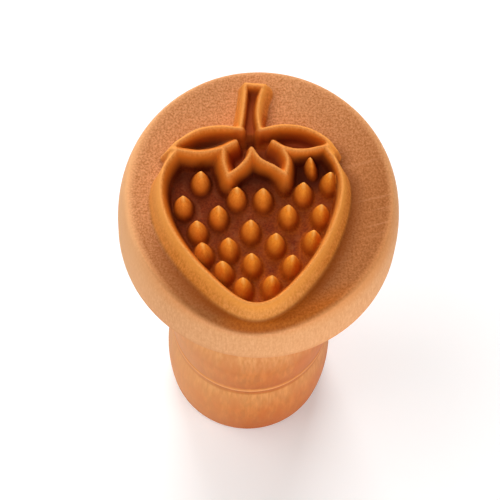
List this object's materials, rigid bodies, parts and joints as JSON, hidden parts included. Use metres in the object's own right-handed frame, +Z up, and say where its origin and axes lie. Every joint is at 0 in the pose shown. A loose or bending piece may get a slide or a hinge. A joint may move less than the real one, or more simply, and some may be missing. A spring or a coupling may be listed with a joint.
{
  "type": "hand stamp",
  "caption": "Turned wooden hand stamp with a strawberry in relief on its end-grain face, for pressing a pattern into clay, standing on the end of its handle.",
  "frame": {"origin": "middle of the foot's flat underside, where it meets the table", "axes": "+Z up the turning's axis to the carved face, +Y from the berry's tip towards its stalk, +X to the right of the drawing"},
  "size_m": [0.025, 0.025, 0.049],
  "materials": {
    "head_wood": "oiled fine-grained hardwood, end grain on the face",
    "handle_wood": "oiled fine-grained hardwood, satin",
    "dowel_wood": "bare beech"
  },
  "bodies": {
    "root": {"stamp_head": "head_wood", "handle": "handle_wood", "dowel_pin": "dowel_wood"}
  },
  "joints": []
}
